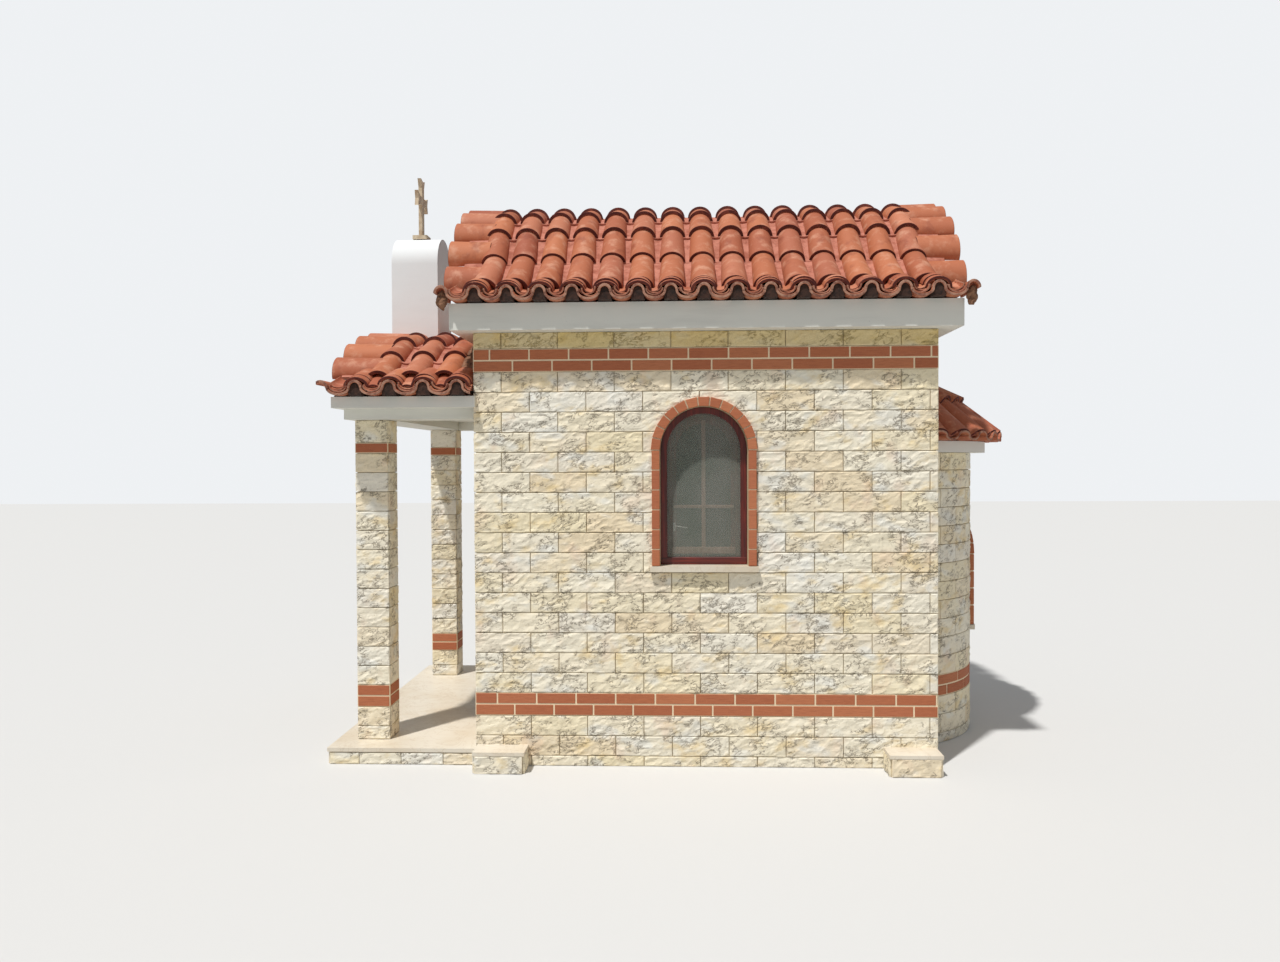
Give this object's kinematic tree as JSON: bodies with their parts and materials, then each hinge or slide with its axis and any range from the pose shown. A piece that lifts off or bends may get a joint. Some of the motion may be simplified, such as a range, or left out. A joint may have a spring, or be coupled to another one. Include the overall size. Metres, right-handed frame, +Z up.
{
  "type": "small chapel",
  "caption": "Small stone chapel with a tiled barrel vault roof, a round apse with a tiled half dome, a columned porch, a plastered belfry slab and a cross.",
  "frame": {"origin": "middle of the nave in plan, on the ground, at the underside of its floor slab", "axes": "+X east to the apse, -X west to the porch, +Y north, +Z up"},
  "size_m": [4.616, 2.96, 4.064],
  "materials": {
    "rendered_stone": "rough",
    "floor_stone": "smooth",
    "white_concrete": "matt",
    "white_plaster": "matt",
    "concrete": "rough",
    "roof_tile": "matt",
    "brick": "matt",
    "marble": "honed",
    "pale_stone": "matt",
    "dark_wood": "varnished",
    "glass": "clear"
  },
  "bodies": {
    "root": {"nave_floor": "floor_stone", "south_wall": "rendered_stone", "north_wall": "rendered_stone", "west_wall": "rendered_stone", "east_wall": "rendered_stone", "nave_cornice": "white_concrete", "nave_vault": "concrete", "west_tympanum": "white_plaster", "east_tympanum": "white_plaster", "nave_tiles_south": "roof_tile", "nave_tiles_north": "roof_tile", "nave_ridge_tiles": "roof_tile", "nave_eave_tiles": "roof_tile", "nave_verge_tiles": "roof_tile", "apse_floor": "floor_stone", "apse_wall_south": "rendered_stone", "apse_wall_east": "rendered_stone", "apse_wall_north": "rendered_stone", "apse_cornice": "white_concrete", "apse_dome": "concrete", "apse_tiles": "roof_tile", "porch_base": "marble", "porch_paving": "marble", "porch_columns": "rendered_stone", "porch_beam": "white_concrete", "porch_slab": "white_concrete", "porch_vault": "concrete", "porch_tympanum": "white_plaster", "porch_tiles_south": "roof_tile", "porch_tiles_north": "roof_tile", "porch_ridge_tiles": "roof_tile", "porch_eave_tiles": "roof_tile", "porch_verge_tiles": "roof_tile", "belfry": "white_plaster", "cross": "pale_stone", "window_frames": "dark_wood", "window_glass": "glass", "window_surrounds": "brick", "window_sills": "marble", "threshold": "marble", "door_frame": "dark_wood", "door_leaf": "dark_wood", "door_surround": "brick", "corner_plinths": "rendered_stone", "plinth_caps": "marble"}
  },
  "joints": []
}
